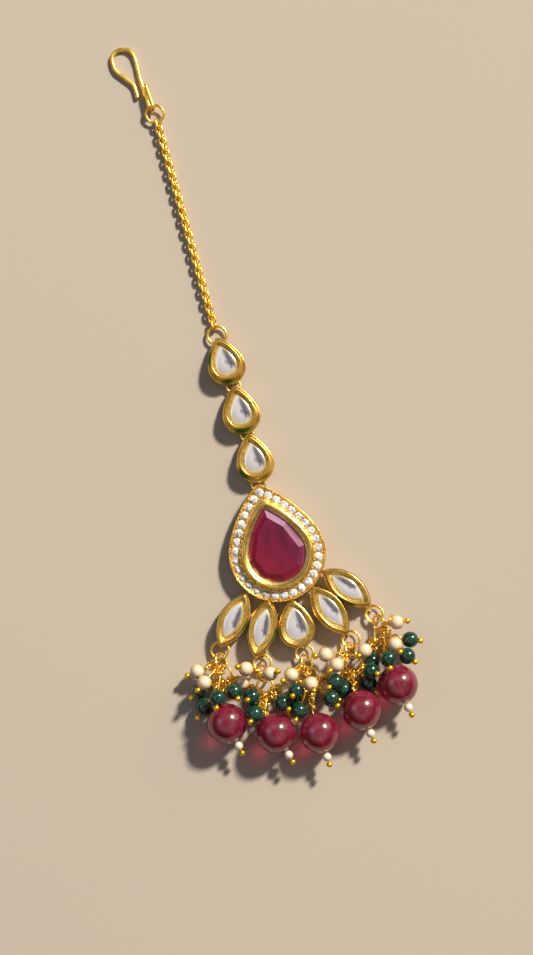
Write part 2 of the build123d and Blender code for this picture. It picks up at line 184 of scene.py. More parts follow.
def lathe(profile, sides, closed=False):
    # the profile's points (radius, height) turned about the Z axis
    profile = np.asarray(profile, float)
    angle = np.linspace(0, 2 * np.pi, sides, endpoint=False)
    x, y = profile[:, :1] * np.cos(angle), profile[:, :1] * np.sin(angle)
    rows = np.stack([x, y, np.broadcast_to(profile[:, 1:], x.shape)], -1)
    if closed:
        return rows.reshape(-1, 3), gridFaces(len(profile), sides, closedRows=True), 0
    return capped(rows)


def tube(path, radius, reference, sides=12, closed=False):
    # a circle of that radius carried along the path, square to it; the reference steadies its turn.
    # An open tube gets a round end, a quarter circle in three rows.
    path = np.asarray(path, float)
    width = np.ones(len(path))
    if closed:
        ahead = unit(np.roll(path, -1, 0) - np.roll(path, 1, 0))
    else:
        ahead = unit(np.gradient(path, axis=0))
        bend = np.radians([80, 50, 25])[:, None]
        start, end = -ahead[0] * radius * np.sin(bend), ahead[-1] * radius * np.sin(bend[::-1])
        path = np.concatenate([path[0] + start, path, path[-1] + end])
        width = np.concatenate([np.cos(bend[:, 0]), width, np.cos(bend[::-1, 0])])
        ahead = np.concatenate([ahead[:1].repeat(3, 0), ahead, ahead[-1:].repeat(3, 0)])
        if np.ndim(reference) > 1:
            first, last = reference[:1].repeat(3, 0), reference[-1:].repeat(3, 0)
            reference = np.concatenate([first, reference, last])
    side = unit(np.cross(ahead, reference))
    up = np.cross(side, ahead)
    angle = np.linspace(0, 2 * np.pi, sides, endpoint=False)[None, :, None]
    circle = np.cos(angle) * side[:, None] + np.sin(angle) * up[:, None]
    rows = path[:, None] + radius * width[:, None, None] * circle
    if closed:
        return rows.reshape(-1, 3), gridFaces(len(path), sides, closedRows=True, turned=True), 0
    return capped(rows, True)


def moved(shape, origin, axis, across):
    # turns a shape so that its Z axis lies along axis and its X axis as near to across as it can
    points, faces, material = shape
    zAxis = unit(axis)
    xAxis = unit(np.asarray(across, float) - zAxis * np.dot(across, zAxis))
    turned = points @ np.stack([xAxis, np.cross(zAxis, xAxis), zAxis])
    return turned + np.asarray(origin, float), faces, material


def turnedFlat(shape, x, y, degrees):
    # a shape turned about the upright axis and put at x and y
    angle = math.radians(degrees)
    return moved(shape, (x, y, 0), (0, 0, 1), (math.cos(angle), math.sin(angle), 0))


def copies(shape, places):
    # the same shape, unturned, at many places, as one shape
    points, faces, material = shape
    allPoints = (places[:, None] + points[None]).reshape(-1, 3)
    allFaces = (np.arange(len(places))[:, None, None] * len(points) + faces[None]).reshape(-1, 4)
    return allPoints, allFaces, material


def newPiece(name, node, shapes, materials, smooth=True, pointValues=None, faceValues=None):
    # one mesh in metres from shapes (points, faces, material numbers), in the place of a CAD node
    starts = np.cumsum([0] + [len(shape[0]) for shape in shapes])
    points = np.concatenate([shape[0] for shape in shapes]) * mm
    faces = np.concatenate([shape[1] + start for shape, start in zip(shapes, starts)])
    numbers = np.concatenate([np.broadcast_to(shape[2], len(shape[1])) for shape in shapes])
    used = np.ones(faces.shape, bool)
    used[:, 3] = faces[:, 3] != faces[:, 2]
    totals = used.sum(1)
    mesh = bpy.data.meshes.new(name)
    mesh.vertices.add(len(points))
    mesh.vertices.foreach_set("co", points.ravel())
    mesh.loops.add(int(totals.sum()))
    mesh.loops.foreach_set("vertex_index", faces[used].astype(np.int32))
    mesh.polygons.add(len(faces))
    mesh.polygons.foreach_set("loop_start", (np.cumsum(totals) - totals).astype(np.int32))
    mesh.polygons.foreach_set("material_index", numbers.astype(np.int32))
    mesh.polygons.foreach_set("use_smooth", np.full(len(faces), smooth))
    mesh.update(calc_edges=True)
    for domain, values in (("POINT", pointValues), ("FACE", faceValues)):
        for valueName, value in (values or {}).items():
            layer = mesh.attributes.new(valueName, "FLOAT", domain)
            layer.data.foreach_set("value", np.asarray(value, np.float32).ravel())
    for material in materials:
        mesh.materials.append(material)
    piece = addObject(name, mesh)
    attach(piece, "root")
    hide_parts(node)


# materials


def newMaterial(name):
    # an empty material and its node tree
    material = bpy.data.materials.new(name)
    material.use_nodes = True
    material.node_tree.nodes.clear()
    return material, material.node_tree


def cloudyTone(tree, width, detail, stops):
    # a colour that wanders between the stops in clouds of that width in millimetres: noise of scale s has
    # clouds about 1 / s metres wide. Gives the colour, the clouds and the place that they are read at.
    spot = addNode(tree, "TexCoord")
    settings = {"Scale": 1 / (width * mm), "Detail": detail}
    cloud = addNode(tree, "TexNoise", settings, {"Vector": (spot, "Object")})
    return addNode(tree, "ValToRGB", {"stops": stops}, {"Fac": (cloud, "Fac")}), cloud, spot


def finish(tree, settings, links):
    # the surface itself, wired to the material's output
    shader = addNode(tree, "BsdfPrincipled", settings, links)
    addNode(tree, "OutputMaterial", links={"Surface": (shader, 0)})


# 22 carat gold plate over brass, polished by hand: warm, bright, with faint rubbing marks, and with
# green enamel left in the groove. Real marks are some 0.05 mm wide and are drawn 0.45 mm wide, to show.
goldPlate, tree = newMaterial("polished22CaratGoldPlate")
tone, cloud, spot = cloudyTone(tree, 2.381, 3.0, [(0.3, "#E0AE48"), (0.7, "#F6D67E")])
rub = addNode(tree, "MapRange", {"From Min": 0.3, "From Max": 0.7, "To Min": 0.2, "To Max": 0.34},
              {"Value": (cloud, "Fac")})
marks = addNode(tree, "TexNoise", {"Scale": 1 / (0.4545 * mm), "Detail": 4.0}, {"Vector": (spot, "Object")})
bump = addNode(tree, "Bump", {"Strength": 0.25, "Distance": 0.04 * mm}, {"Height": (marks, "Fac")})
painted = addNode(tree, "Attribute", {"attribute_name": "enamel"})
green = addNode(tree, "Mix", {"data_type": "RGBA", 7: "#6E8E1E"}, {0: (painted, "Fac"), 6: (tone, "Color")})
metal = addNode(tree, "MapRange", {"To Min": 1.0, "To Max": 0.5}, {"Value": (painted, "Fac")})
finish(tree, {}, {
    "Base Color": (green, 2), "Metallic": (metal, 0), "Roughness": (rub, "Result"), "Normal": (bump, 0)})

# gold-plated drawn wire: smoother and brighter than the boxes
goldWire, tree = newMaterial("goldPlatedDrawnWire")
tone, cloud, _ = cloudyTone(tree, 1.4286, 2.0, [(0.3, "#F6BC40"), (0.7, "#FFE27A")])
rub = addNode(tree, "MapRange", {"From Min": 0.3, "From Max": 0.7, "To Min": 0.22, "To Max": 0.38},
              {"Value": (cloud, "Fac")})
finish(tree, {"Metallic": 1.0}, {"Base Color": (tone, "Color"), "Roughness": (rub, "Result")})

# gold left as it came from the pickle inside the mouths: satin, olive, slightly pitted. Real pits are
# under 0.1 mm wide and are drawn 0.56 mm wide, to show.
goldSatin, tree = newMaterial("satinGoldInsideTheMouths")
tone, pits, _ = cloudyTone(tree, 0.5556, 4.0, [(0.35, "#CDB05E"), (0.65, "#F6E3A4")])
bump = addNode(tree, "Bump", {"Strength": 0.35, "Distance": 0.08 * mm}, {"Height": (pits, "Fac")})
finish(tree, {"Metallic": 1.0, "Roughness": 0.42}, {"Base Color": (tone, "Color"), "Normal": (bump, 0)})

# melted ball ends of the pins, a little dull and more mustard than the wire
goldBall, tree = newMaterial("meltedGoldBallEnds")
tone, _, _ = cloudyTone(tree, 1.1111, 3.0, [(0.3, "#E2AE24"), (0.7, "#FFDA4C")])
finish(tree, {"Metallic": 1.0, "Roughness": 0.4}, {"Base Color": (tone, "Color")})

# cut ruby with a foil behind it: raspberry, faintly cloudy, and painted redder towards the lower left, a
# painted glow where the light leaves it; its facets that look to the sky are painted paler, a painted
# reflection, and those turned from the lamp painted redder against their shade. Its silk lies in streaks,
# 3.8 mm apart before they stretch.
rubyStone, tree = newMaterial("foiledRuby")
spot = addNode(tree, "TexCoord")
silk = addNode(tree, "Mapping", {"Scale": (2.4, 0.7, 1.0)}, {"Vector": (spot, "Object")})
cloud = addNode(tree, "TexNoise", {"Scale": 1 / (3.846 * mm), "Detail": 5.0, "Roughness": 0.6},
                {"Vector": (silk, 0)})
tone = addNode(tree, "ValToRGB", {"stops": [(0.3, "#500828"), (0.55, "#700E3C"), (0.75, "#8A1C50")]},
               {"Fac": (cloud, "Fac")})
glow, facet = [addNode(tree, "Attribute", {"attribute_name": name}) for name in ("glow", "facetTone")]
below = addNode(tree, "Math", {"operation": "MULTIPLY", 1: -1.0}, {0: (facet, "Fac")})
warmed = addNode(tree, "Mix", {"data_type": "RGBA", 7: "#8E0C30"}, {0: (glow, "Fac"), 6: (tone, "Color")})
lifted = addNode(tree, "Mix", {"data_type": "RGBA", 7: "#C81E56"}, {0: (below, 0), 6: (warmed, 2)})
paled = addNode(tree, "Mix", {"data_type": "RGBA", 7: "#B58FB4"}, {0: (facet, "Fac"), 6: (lifted, 2)})
finish(tree, {"Roughness": 0.12, "IOR": 1.77}, {"Base Color": (paled, 2)})

# cubic zirconia: colourless; each facet is painted white or lavender-grey at random, painted reflections
# for its flashes
zirconia, tree = newMaterial("cutCubicZirconia")
facet = addNode(tree, "Attribute", {"attribute_name": "facetTone"})
flashes = [(0.0, "#8E8690"), (0.22, "#BDB6BE"), (0.4, "#FFFFFF"), (1.0, "#FFFFFF")]
tone = addNode(tree, "ValToRGB", {"stops": flashes}, {"Fac": (facet, "Fac")})
finish(tree, {"Roughness": 0.08, "IOR": 2.15}, {"Base Color": (tone, "Color")})

# uncut-style glass over silver foil with a painted reflection: one side of the keel is painted flashing
# white, the other painted grey with streaks, a painted shade, and the low end painted whiter. Its pattern
# is laid out in half widths of the stone, by the values that the mesh carries.
foilGlass, tree = newMaterial("glassOverSilverFoil")
across, along, rim = [
    addNode(tree, "Attribute", {"attribute_name": name}) for name in ("across", "along", "rim")]
place = addNode(tree, "CombineXYZ", links={"X": (across, "Fac"), "Y": (along, "Fac")})
slant = addNode(tree, "Mapping", {"Rotation": (0, 0, 0.35), "Scale": (3.2, 0.7, 1.0)},
                {"Vector": (place, 0)})
streaks = addNode(tree, "TexNoise", {"Scale": 1.3, "Detail": 3.0, "Roughness": 0.6}, {"Vector": (slant, 0)})
shift = addNode(tree, "Math", {"operation": "MULTIPLY_ADD", 1: 1.1, 2: -0.55}, {0: (streaks, "Fac")})
half = addNode(tree, "Math", {"operation": "ADD"}, {0: (across, "Fac"), 1: (shift, 0)})
# painted highlight: the low end of the stone is painted whiter
lowEnd = addNode(tree, "MapRange", {"From Min": -1.0, "From Max": -0.2, "To Min": -0.55, "To Max": 0.0},
                 {"Value": (along, "Fac")})
lit = addNode(tree, "Math", {"operation": "ADD"}, {0: (half, 0), 1: (lowEnd, 0)})
halves = addNode(tree, "MapRange", {"From Min": -0.9, "From Max": 1.1}, {"Value": (lit, 0)})
foil = [(0.0, "#E4E4F4"), (0.4, "#FFFFFF"), (0.48, "#C6C6DA"), (0.58, "#6E6A74"), (0.72, "#989298"),
        (1.0, "#C9C2BE")]
tone = addNode(tree, "ValToRGB", {"stops": foil}, {"Fac": (halves, 0)})
edge = addNode(tree, "ValToRGB", {"stops": [(0.7, 0.0), (0.97, 0.85)]}, {"Fac": (rim, "Fac")})
tinted = addNode(tree, "Mix", {"data_type": "RGBA", 7: "#EBD596"}, {0: (edge, "Color"), 6: (tone, "Color")})
valley = addNode(tree, "Math", {"operation": "ABSOLUTE"}, {0: (across, "Fac")})
bump = addNode(tree, "Bump", {"Strength": 0.5, "Distance": 0.4 * mm}, {"Height": (valley, 0)})
finish(tree, {"Metallic": 0.45, "Roughness": 0.2, "Coat Weight": 1.0, "Coat Roughness": 0.03},
       {"Base Color": (tinted, 2), "Normal": (bump, 0)})

# dyed raspberry quartz, clear with a little milk in it: the drill hole shows as a bright line
redQuartz, tree = newMaterial("dyedRaspberryQuartz")
tone, _, _ = cloudyTone(tree, 2.381, 4.0, [(0.35, "#B02049"), (0.65, "#D04570")])
finish(tree, {"Roughness": 0.2, "IOR": 1.5, "Transmission Weight": 0.72, "Coat Weight": 0.7,
              "Coat Roughness": 0.1}, {"Base Color": (tone, "Color")})

# dark green onyx, polished
greenOnyx, tree = newMaterial("polishedGreenOnyx")
tone, _, _ = cloudyTone(tree, 2.0, 4.0, [(0.3, "#062E24"), (0.7, "#124A3B")])
finish(tree, {"Roughness": 0.16, "IOR": 1.54, "Coat Weight": 0.3}, {"Base Color": (tone, "Color")})

# shell pearl: cream, with a soft coat, and painted shade: darker and warmer towards the edge, by how far it
# turns from the view
pearlCoat, tree = newMaterial("creamShellPearl")
edge = addNode(tree, "LayerWeight", {"Blend": 0.5})
tone = addNode(tree, "ValToRGB", {"stops": [(0.05, "#FCEACC"), (0.4, "#EFCEA2"), (0.85, "#AE7C52")]},
               {"Fac": (edge, "Facing")})
finish(tree, {"Roughness": 0.3, "Coat Weight": 1.0, "Coat Roughness": 0.11, "Subsurface Weight": 0.1,
              "Subsurface Radius": (0.8 * mm, 0.5 * mm, 0.3 * mm), "Subsurface Scale": 1.0},
       {"Base Color": (tone, "Color")})

# small white pearls below the red beads, with painted shade: darker and browner towards the edge, by how
# far it turns from the view
seedPearl, tree = newMaterial("whiteSeedPearl")
edge = addNode(tree, "LayerWeight", {"Blend": 0.35})
tone = addNode(tree, "ValToRGB", {"stops": [(0.0, "#F4E8DA"), (1.0, "#D2B79C")]}, {"Fac": (edge, "Facing")})
finish(tree, {"Roughness": 0.3, "Coat Weight": 0.4, "Coat Roughness": 0.15},
       {"Base Color": (tone, "Color")})

# plain pale painted floor, matt
floorPaint, tree = newMaterial("palePaintedFloor")
finish(tree, {"Base Color": look["floorColour"], "Roughness": 0.9, "Specular IOR Level": 0.2}, {})
reach, low = look["floorReach"] * mm, look["floorZ"] * mm
floorMesh = bpy.data.meshes.new("floor")
corners = [(x * reach, y * reach, low) for x, y in ((-1, -1), (1, -1), (1, 1), (-1, 1))]
floorMesh.from_pydata(corners, [], [(0, 1, 2, 3)])
floorMesh.materials.append(floorPaint)
addObject("floor", floorMesh)
print("materials ready")

# settings of the stones

boxes = {
    "backZ": 1.3, "flangeZ": 2.1, "rimZ": 3.5, "seatZ": 2.75, "sideBulge": 1.45, "perArc": 26,
    # outlines: width, length and tip radius
    "pear": {
        "flange": (7.8, 10.3, 0.9), "box": (6.4, 8.6, 0.5),
        "mouth": (5.5, 7.6, 0.4), "seat": (4.6, 6.6, 0.25)},
    "petalPear": {
        "flange": (7.5, 9.8, 0.8), "box": (6.9, 9.1, 0.6),
        "mouth": (5.9, 8.1, 0.4), "seat": (4.7, 7.0, 0.25)},
    "petalPointed": {
        "flange": (5.9, 12.0, 0.5), "box": (5.3, 11.0, 0.4),
        "mouth": (4.4, 9.7, 0.3), "seat": (3.4, 8.0, 0.2)},
    # pears: x, y and turn; the box sits a little up its flange
    "pears": [(0.75, 40.1, 2.8), (0.85, 29.4, -3.0), (0.85, 19.0, -2.6)], "pearShift": 0.2,
    "stapleReach": (5.2, -2.7),
    # petals: outline, x, y, turn and how far the box sits to the side of its flange
    "petals": [
        ("petalPointed", -12.2, -10.4, -42.5, -0.05), ("petalPointed", -7.0, -13.6, -30.3, -0.05),
        ("petalPear", -0.4, -15.7, -5.2, 0.1), ("petalPointed", 7.0, -13.9, 20.9, 0.2),
        ("petalPointed", 11.6, -10.5, 37.3, 0.2)],
    # where green enamel is left on the outer walls: x, y and how far it spreads
    "enamel": [
        (-2.5, 42.6, 2.2), (0.2, 36.7, 1.7), (-0.3, 26.1, 1.8), (1.4, 26.4, 1.4), (-2.3, 17.6, 1.9),
        (-9.8, -12.1, 1.3), (-10.6, -12.9, 1.5), (-4.6, -15.2, 1.2), (-5.6, -16.5, 2.0), (9.4, -12.5, 1.8),
        (10.9, -14.2, 1.6), (-10.0, -6.5, 1.4)],
    "staple": {"half": 0.75, "topZ": 1.5, "drop": 1.28, "wire": 0.22},
}


def outlineRows(kind, sizes, perArc=boxes["perArc"]):
    # closed outlines of four circular arcs, one row for each width, length and tip radius. Points and
    # outward ways are given by the angle of the outline's normal, so that rows match column by column.
    width, length, tip = np.asarray(sizes, float).T[:, :, None]
    if kind == "petalPointed":
        end = length / 2 - tip
        side = (width ** 2 / 4 + end ** 2 - tip ** 2) / (width - 2 * tip)
        across, foot, footY, sideY, tipY = side - width / 2, tip, -end, 0 * end, end
    else:
        foot, side = width / 2, boxes["sideBulge"] * width
        tipY = length - foot - tip
        sideY = ((side - foot) ** 2 - (side - tip) ** 2 + tipY ** 2) / (2 * tipY)
        across, footY = np.sqrt((side - foot) ** 2 - sideY ** 2), 0 * tipY
    low, high = np.arctan2(sideY - footY, across), np.arctan2(tipY - sideY, across)
    share = np.arange(perArc)[None, :] / perArc
    arcs = [  # angles, middle and radius
        (-low + share * (low + high), -across, sideY, side),
        (high + share * (np.pi - 2 * high), 0 * across, tipY, tip),
        (np.pi - high + share * (high + low), across, sideY, side),
        (np.pi + low + share * (np.pi - 2 * low), 0 * across, footY, foot)]
    x = np.concatenate([cx + r * np.cos(a) for a, cx, _, r in arcs], 1)
    y = np.concatenate([cy + r * np.sin(a) for a, _, cy, r in arcs], 1)
    turn = np.concatenate([a for a, _, _, _ in arcs], 1)
    return np.stack([x, y], -1), np.stack([np.cos(turn), np.sin(turn)], -1)


def carried(kind, levels, shiftX=0.0, shiftY=0.0):
    # a profile carried round outlines: each level is an outline, an outward offset and a height
    points, ways = outlineRows(kind, [level[0] for level in levels])
    offsets = np.array([level[1] for level in levels])[:, None, None]
    heights = np.array([level[2] for level in levels])[:, None, None]
    flat = points + offsets * ways + np.array([shiftX, shiftY])
    return np.concatenate([flat, np.broadcast_to(heights, (*points.shape[:2], 1))], -1)


def between(first, second, share):
    # an outline that share of the way from the first to the second
    return tuple(np.asarray(first) * (1 - share) + np.asarray(second) * share)


def roundedRim(outer, inner, lowOuter, lowInner, top, steps=11):
    # levels of a rolled rim: half an ellipse from the outer outline over to the inner one
    levels = []
    for angle in np.linspace(0, np.pi, steps):
        share = (1 - math.cos(angle)) / 2
        base = lowOuter * (1 - share) + lowInner * share
        levels.append((between(outer, inner, share), 0.0, base + (top - base) * math.sin(angle) ** 0.8))
    return levels


def goldAndSatin(outside, mouth):
    # a gold skin closed by a middle point below, and in it a satin mouth closed by one at its foot
    columns = outside.shape[1]
    closings = [outside[:1].mean(1), mouth[-1:].mean(1)]
    points = np.concatenate([outside.reshape(-1, 3), mouth.reshape(-1, 3), *closings])
    last = np.arange(columns) + (len(outside) + len(mouth) - 1) * columns
    gold = [gridFaces(len(outside), columns), fan(np.arange(columns), len(points) - 2, True)]
    satin = [gridFaces(len(mouth), columns) + len(outside) * columns, fan(last, len(points) - 1)]
    faces = np.concatenate(gold + satin)
    return points, faces, (np.arange(len(faces)) >= sum(map(len, gold))).astype(int)


def boxShape(kind, shiftX, shiftY):
    # flange, groove, wall, rolled rim and satin mouth of one stone's box
    flange, box, mouth, seat = (boxes[kind][part] for part in ("flange", "box", "mouth", "seat"))
    back, flangeZ, rim, seatZ = boxes["backZ"], boxes["flangeZ"], boxes["rimZ"], boxes["seatZ"]
    plate = carried(kind, [
        (flange, -0.15, back), (flange, -0.03, back + 0.04), (flange, 0.0, back + 0.15),
        (flange, 0.0, flangeZ - 0.2), (flange, -0.05, flangeZ - 0.06), (flange, -0.18, flangeZ),
        (flange, -0.35, flangeZ - 0.03)])
    wall = [
        (box, 0.25, flangeZ - 0.05), (box, 0.1, flangeZ - 0.12), (box, 0.0, flangeZ - 0.05),
        (box, -0.04, flangeZ + 0.3), (box, -0.02, rim - 0.62), (box, -0.1, rim - 0.55),
        (box, -0.08, rim - 0.48)]
    roll = roundedRim(box, mouth, rim - 0.42, rim - 0.25, rim)
    slope = [(between(mouth, seat, share), 0.0, rim - 0.25 + (seatZ - 0.1 - rim + 0.25) * share ** 0.8)
             for share in (0.0, 0.12, 0.35, 0.6, 0.85, 1.0)]
    outside = np.concatenate([plate, carried(kind, wall + roll, shiftX, shiftY)])
    return goldAndSatin(outside, carried(kind, slope, shiftX, shiftY))


def enamelShare(shapes):
    # 1 at an enamelled place and 0 past its reach, only in the groove and on the wall above the flange
    points = np.concatenate([shape[0] for shape in shapes])
    places = np.array(boxes["enamel"])
    away = np.linalg.norm(points[:, None, :2] - places[None, :, :2], axis=2) / places[None, :, 2]
    share = np.clip(1.6 * (1 - away.min(1)), 0, 1)
    inGroove = (points[:, 2] > boxes["flangeZ"] - 0.15) & (points[:, 2] < boxes["rimZ"] - 0.3)
    return {"enamel": share * inGroove}


def wireStaple(x, y, degrees):
    # a bent wire soldered under a box along its length, with room in it for a jump ring: a half turn
    # cut off flat at its foot and its sides
    staple = boxes["staple"]
    wayX, wayY = -math.sin(math.radians(degrees)), math.cos(math.radians(degrees))
    turn = np.linspace(0, np.pi, 15)
    along = np.clip(-np.cos(turn) * 1.12, -1, 1) * staple["half"]
    height = staple["topZ"] - np.minimum(np.sin(turn) * 2.2, 1.0) * staple["drop"]
    path = np.stack([x + wayX * along, y + wayY * along, height], -1)
    return tube(path, staple["wire"], np.array([wayY, -wayX, 0.0]), 10)


for number, (x, y, turn) in enumerate(boxes["pears"], 1):
    shapes = [turnedFlat(boxShape("pear", 0.0, boxes["pearShift"]), x, y, turn)]
    for reach in boxes["stapleReach"]:
        angle = math.radians(turn)
        shapes.append(wireStaple(x - math.sin(angle) * reach, y + math.cos(angle) * reach, turn))
    newPiece("pearBox%d" % number, "pear_setting_%d" % number, shapes, [goldPlate, goldSatin],
             pointValues=enamelShare(shapes))
print("pear boxes ready")

# the pendant

pendant = {
    # outlines: width, length and tip radius
    "back": (13.7, 18.2, 1.0), "flange": (19.7, 24.6, 1.2), "border": (18.8, 23.6, 1.0),
    "halo": (16.8, 21.4, 1.0), "bezel": (14.7, 18.3, 1.4), "mouth": (12.9, 16.5, 0.9),
    "seat": (11.6, 15.3, 0.6),
    "backZ": 1.3, "haloZ": 2.5, "borderZ": 2.75, "bezelZ": 3.9, "haloCount": 31, "stoneRadius": 0.87,
    "milgrainSize": 0.19, "milgrainCount": 168, "milgrainInset": 0.24, "milgrainLift": 0.02,
    "grainSize": 0.24, "grainReach": 0.72, "grainLift": 0.12,
    # staples: x, y and turn
    "staples": [
        (-15.25, -14.15, -42.5), (-8.04, -18.73, -30.3), (-0.05, -18.91, -5.2), (8.99, -19.01, 20.9),
        (14.57, -15.65, 37.3), (0.0, 13.55, 0.0)],
}


def evenPlaces(outline, count, height, offset=0.0, start=0.0):
    # points at equal distances round a pear outline, the first at the tip that points to +Y
    perArc = 400
    points, ways = outlineRows("pear", [outline], perArc)
    line = np.roll(points[0] + offset * ways[0], -perArc * 3 // 2, 0)
    steps = np.linalg.norm(np.roll(line, -1, 0) - line, axis=1)
    travelled = np.concatenate([[0], np.cumsum(steps)])
    wanted = (np.arange(count) + start) / count * travelled[-1]
    closed = np.concatenate([line, line[:1]])
    x, y = np.interp(wanted, travelled, closed[:, 0]), np.interp(wanted, travelled, closed[:, 1])
    return np.stack([x, y, np.full(count, height)], -1)


def grain(radius, sides=8, rows=5):
    # a small round bead of gold
    tilt = np.radians(np.linspace(-72, 72, rows))
    return lathe(np.stack([radius * np.cos(tilt), radius * np.sin(tilt)], -1), sides)


def pendantShape():
    # back plate, flange, milled edge, border, the halo's floor, the bezel with its rolled rim, and the
    # mouth, which slopes in to the ruby and then drops straight under it
    back, flange, border, bezel = (pendant[part] for part in ("back", "flange", "border", "bezel"))
    backZ, haloZ, borderZ, bezelZ = (pendant[part] for part in ("backZ", "haloZ", "borderZ", "bezelZ"))
    plate = [
        (back, -0.1, 0.0), (back, 0.0, 0.1), (back, 0.0, backZ - 0.02), (flange, -0.15, backZ),
        (flange, 0.0, backZ + 0.15), (flange, 0.0, borderZ - 0.42), (flange, -0.06, borderZ - 0.36),
        (flange, -0.02, borderZ - 0.28), (flange, -0.02, borderZ - 0.12), (flange, -0.1, borderZ),
        (border, 0.02, borderZ), (border, -0.06, haloZ + 0.05), (border, -0.12, haloZ),
        (bezel, 0.16, haloZ), (bezel, 0.04, haloZ + 0.1), (bezel, 0.0, haloZ + 0.3),
        (bezel, 0.0, bezelZ - 0.55)]
    roll = roundedRim(bezel, pendant["mouth"], bezelZ - 0.45, bezelZ - 0.3, bezelZ, 15)
    slope = [(between(pendant["mouth"], pendant["seat"], share), 0.0, bezelZ - 0.3 - 0.4 * share)
             for share in (0.0, 0.15, 0.4, 0.7, 0.93)]
    drop = [(pendant["seat"], 0.0, bezelZ - depth) for depth in (0.73, 0.85, 1.3)]
    return goldAndSatin(carried("pear", plate + roll), carried("pear", slope + drop))


height = pendant["borderZ"] + pendant["milgrainLift"]
milgrain = evenPlaces(pendant["flange"], pendant["milgrainCount"], height, -pendant["milgrainInset"])
shapes = [pendantShape(), copies(grain(pendant["milgrainSize"]), milgrain)]
height = pendant["haloZ"] + pendant["grainLift"]
for reach in (-pendant["grainReach"], pendant["grainReach"]):
    grains = evenPlaces(pendant["halo"], pendant["haloCount"], height, reach, 0.5)
    shapes.append(copies(grain(pendant["grainSize"]), grains))
for kind, x, y, turn, shift in boxes["petals"]:
    shapes.append(turnedFlat(boxShape(kind, shift, 0.0), x, y, turn))
shapes += [wireStaple(*place) for place in pendant["staples"]]
newPiece("pendantGold", "pendant_setting", shapes, [goldPlate, goldSatin],
         pointValues=enamelShare(shapes))
print("pendant ready")

# stones

foilDome = {  # each ring's share of the outline and its height over the seat
    "scales": [0.6, 0.98, 1.0, 0.96, 0.86, 0.72, 0.5, 0.25, 0.04],
    "heights": [-1.0, -0.35, -0.05, 0.1, 0.24, 0.34, 0.4, 0.43, 0.44], "reach": 0.02,
}


def foilStone(name, node, kind, x, y, turn, shiftX, shiftY):
    # a low glass dome over foil, its outline drawn in ring by ring; its points know how far across,
    # along and out they are
    width = boxes[kind]["seat"][0]
    scales, heights = np.array(foilDome["scales"]), np.array(foilDome["heights"]) + boxes["seatZ"]
    line = carried(kind, [(boxes[kind]["seat"], foilDome["reach"], 0.0)])[0]
    middle = (line.max(0) + line.min(0)) / 2
    rows = middle + (line - middle)[None] * scales[:, None, None]
    rows[:, :, 2] = heights[:, None]
    across, along = (rows[:, :, 0] - middle[0]) / (width / 2), (rows[:, :, 1] - middle[1]) / (width / 2)
    rim = np.broadcast_to(scales[:, None], across.shape)
    shape = capped(rows + np.array([shiftX, shiftY, 0.0]))
    values = {
        "across": np.append(across, [0, 0]), "along": np.append(along, [0, 0]),
        "rim": np.append(rim, [1, 0])}
    newPiece(name, node, [turnedFlat(shape, x, y, turn)], [foilGlass], pointValues=values)


for number, (x, y, turn) in enumerate(boxes["pears"], 1):
    foilStone("pearStone%d" % number, "pear_stone_%d" % number, "pear", x, y, turn, 0.0, boxes["pearShift"])
for number, (kind, x, y, turn, shift) in enumerate(boxes["petals"], 1):
    foilStone("petalStone%d" % number, "petal_stone_%d" % number, kind, x, y, turn, shift, 0.0)

haloCut = {"tableShare": 0.55, "tableZ": 0.34, "girdleZ": 0.06, "lowZ": -0.02, "culetZ": -0.6}


def brilliant(radius):
    # a round brilliant: table of eight corners, star and kite facets, girdle, and a cone below
    eight = np.arange(8) * np.pi / 4
    sixteen = np.arange(16) * np.pi / 8 - np.pi / 8
    tableZ = haloCut["tableZ"]
    rings = [
        (eight, haloCut["tableShare"] * radius, tableZ), (sixteen, radius, haloCut["girdleZ"]),
        (sixteen, radius, haloCut["lowZ"])]
    points = [np.stack([r * np.cos(turn), r * np.sin(turn), 0 * turn + z], -1) for turn, r, z in rings]
    points = np.concatenate([*points, [(0, 0, haloCut["culetZ"]), (0, 0, tableZ)]])
    table, girdle, low = np.arange(8), np.arange(16) + 8, np.arange(16) + 24
    before, at, after = girdle[2 * table], girdle[2 * table + 1], np.roll(girdle, -2)[2 * table]
    nextTable = np.roll(table, -1)
    facets = [
        fan(table, len(points) - 1), np.stack([table, after, nextTable, nextTable], -1),
        np.stack([table, before, at, at], -1), np.stack([table, at, after, after], -1),
        np.stack([girdle, low, np.roll(low, -1), np.roll(girdle, -1)], -1), fan(low, len(points) - 2, True)]
    return points, np.concatenate(facets), 0


stone = brilliant(pendant["stoneRadius"])
places = evenPlaces(pendant["halo"], pendant["haloCount"], pendant["haloZ"])
stones = [moved(stone, place, (0, 0, 1), (math.cos(angle), math.sin(angle), 0))
          for place, angle in zip(places, random.uniform(0, math.pi, len(places)))]
# each facet's painted flash of light, at random
newPiece("haloStones", "halo_stones", stones, [zirconia], smooth=False,
         faceValues={"facetTone": random.uniform(0, 1, len(stones) * len(stone[1]))})

ruby = {
    "tableZ": 3.8, "girdleZ": 2.8, "slope": 0.65, "gap": 0.05, "lowZ": 1.9, "edge": 0.25, "footShare": 0.6,
    "facets": [22, 44, 136, 158, 202, 248, 292, 338],  # the ways that the crown's facets look
    # each crown facet's painted light: above 0 painted paler, a painted sky reflection; below 0 painted
    # redder against its shade
    "tones": [0.35, 0.85, -0.12, -0.14, -0.16, -0.06, -0.06, 0.06]}  # above 0 pale, below 0 redder


